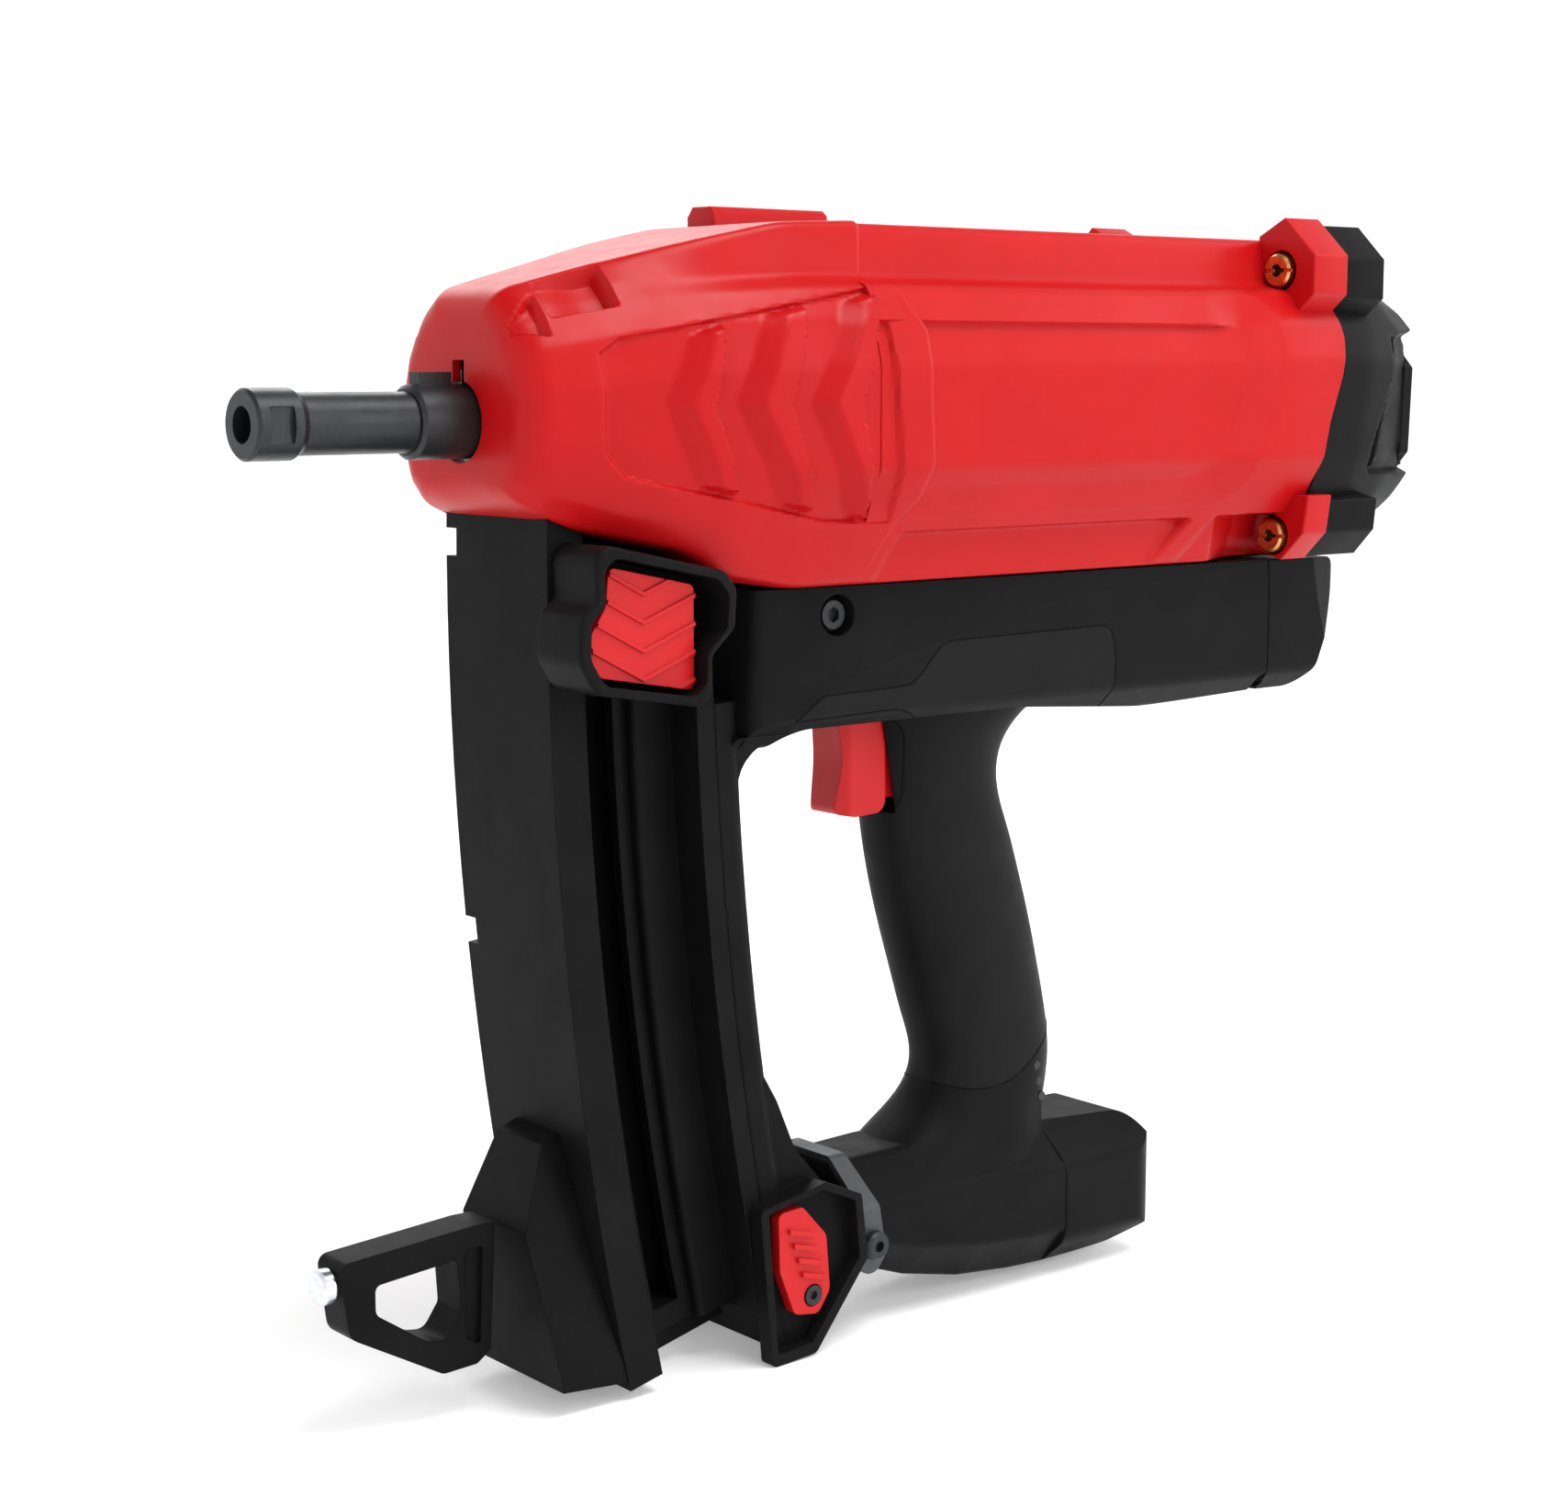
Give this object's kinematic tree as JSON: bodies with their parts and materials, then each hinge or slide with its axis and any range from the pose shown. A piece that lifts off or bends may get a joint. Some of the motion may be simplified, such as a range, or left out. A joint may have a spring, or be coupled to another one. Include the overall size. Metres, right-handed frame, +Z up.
{
  "type": "gas nailer",
  "caption": "Gas-actuated concrete nailer: barrel probe, two-part housing, curved side magazine with follower, raked grip, battery and steadying foot.",
  "frame": {"origin": "centre of the muzzle's front face, on the barrel axis", "axes": "+X back along the barrel towards the rear cap, +Z up, -Y the tool's left side, where the magazine opens"},
  "size_m": [0.4337, 0.11, 0.3352],
  "materials": {
    "red_plastic": "satin moulded",
    "red_control": "satin moulded",
    "black_plastic": "fine-grain satin",
    "grip_rubber": "soft matt",
    "battery_plastic": "fine-grain satin",
    "black_steel": "phosphated",
    "grey_steel": "satin",
    "brass": "turned",
    "zinc": "bright zinc",
    "steel": "ground",
    "aluminium": "as cast",
    "seal_rubber": "matt",
    "foam": "open-cell foam",
    "board": "lacquered board",
    "ceramic": "glazed",
    "nylon": "natural nylon",
    "cell_wrap": "shrink wrap",
    "light_pipe": "smoked lens"
  },
  "bodies": {
    "tool": {"probe_springs": "steel", "nose_bushing": "steel", "nail_guide": "steel", "cylinder_block": "aluminium", "bumper": "seal_rubber", "cylinder_liner": "steel", "cylinder_head": "aluminium", "chamber_seals": "seal_rubber", "fan_motor": "steel", "spark_plug": "ceramic", "ignition_coil": "black_plastic", "front_cowl": "red_plastic", "rear_housing": "red_plastic", "threaded_inserts": "brass", "cap_bolts": "black_steel", "rear_cap": "black_plastic", "filter_cover": "black_plastic", "air_filter": "foam", "door_pin": "steel", "fuel_cell": "aluminium", "metering_valve": "nylon", "gas_tube": "nylon", "trigger_spring": "steel", "trigger_switch": "black_plastic", "control_board": "board", "status_lights": "light_pipe", "contact_block": "brass", "clamp_bracket": "grey_steel", "clamp_screw": "black_steel", "housing_screws": "black_steel", "magazine_front": "black_plastic", "magazine_rear": "black_plastic", "bottom_plug": "black_plastic", "nail_strip": "steel", "nail_collation": "nylon", "follower_spring": "steel", "foot_wedge": "black_plastic", "support_foot": "black_plastic", "foot_pin": "zinc", "left_handle_half": "black_plastic", "right_handle_half": "black_plastic", "rubber_grip": "grip_rubber"},
    "probe": {"muzzle_tip": "black_steel", "barrel_tube": "black_steel", "probe_collar": "black_steel", "probe_linkage": "steel", "chamber_sleeve": "aluminium"},
    "driver": {"piston": "aluminium", "piston_rings": "steel", "driver_blade": "steel"},
    "fan_rotor": {"fan_shaft": "steel", "fan": "nylon"},
    "trigger_body": {"trigger": "red_control"},
    "follower_slide": {"follower": "black_plastic", "pad_spring": "steel"},
    "release_pad": {"follower_pad": "red_control"},
    "lock": {"lock_lever": "red_control"},
    "door": {"fuel_door": "black_plastic"},
    "battery": {"battery_case": "battery_plastic", "battery_cells": "cell_wrap"}
  },
  "joints": [
    {"name": "probe_slide", "type": "slide", "parent": "tool", "child": "probe", "axis": [1, 0, 0], "range_m": [0, 0.015], "stiffness_N_per_m": 1500, "springref_m": -0.012, "deforming": ["probe_springs"]},
    {"name": "driver_stroke", "type": "slide", "parent": "tool", "child": "driver", "axis": [-1, 0, 0], "range_m": [0, 0.11]},
    {"name": "fan_spin", "type": "hinge", "parent": "tool", "child": "fan_rotor", "pos_m": [0.325, 0, 0], "axis": [1, 0, 0], "continuous": true},
    {"name": "trigger_pull", "type": "slide", "parent": "tool", "child": "trigger_body", "axis": [1, 0, 0], "range_m": [0, 0.006], "stiffness_N_per_m": 700, "springref_m": -0.004, "deforming": ["trigger_spring"]},
    {"name": "follower_travel", "type": "hinge", "parent": "tool", "child": "follower_slide", "pos_m": [1.1, 0, -0.045], "axis": [0, 1, 0], "range_deg": [-10, 0], "stiffness_Nm_per_rad": 40, "springref_deg": 6.88},
    {"name": "pad_press", "type": "slide", "parent": "follower_slide", "child": "release_pad", "axis": [0, 1, 0], "range_m": [0, 0.0026], "stiffness_N_per_m": 700, "springref_m": -0.003, "deforming": ["pad_spring"]},
    {"name": "lock_turn", "type": "hinge", "parent": "tool", "child": "lock", "pos_m": [0.164, -0.027, -0.2555], "axis": [0, 1, 0], "range_deg": [0, 28]},
    {"name": "door_swing", "type": "hinge", "parent": "tool", "child": "door", "pos_m": [0.3565, 0, -0.0886], "axis": [0, 1, 0], "range_deg": [0, 95]},
    {"name": "battery_slide", "type": "slide", "parent": "tool", "child": "battery", "axis": [1, 0, 0], "range_m": [0, 0.045]}
  ]
}
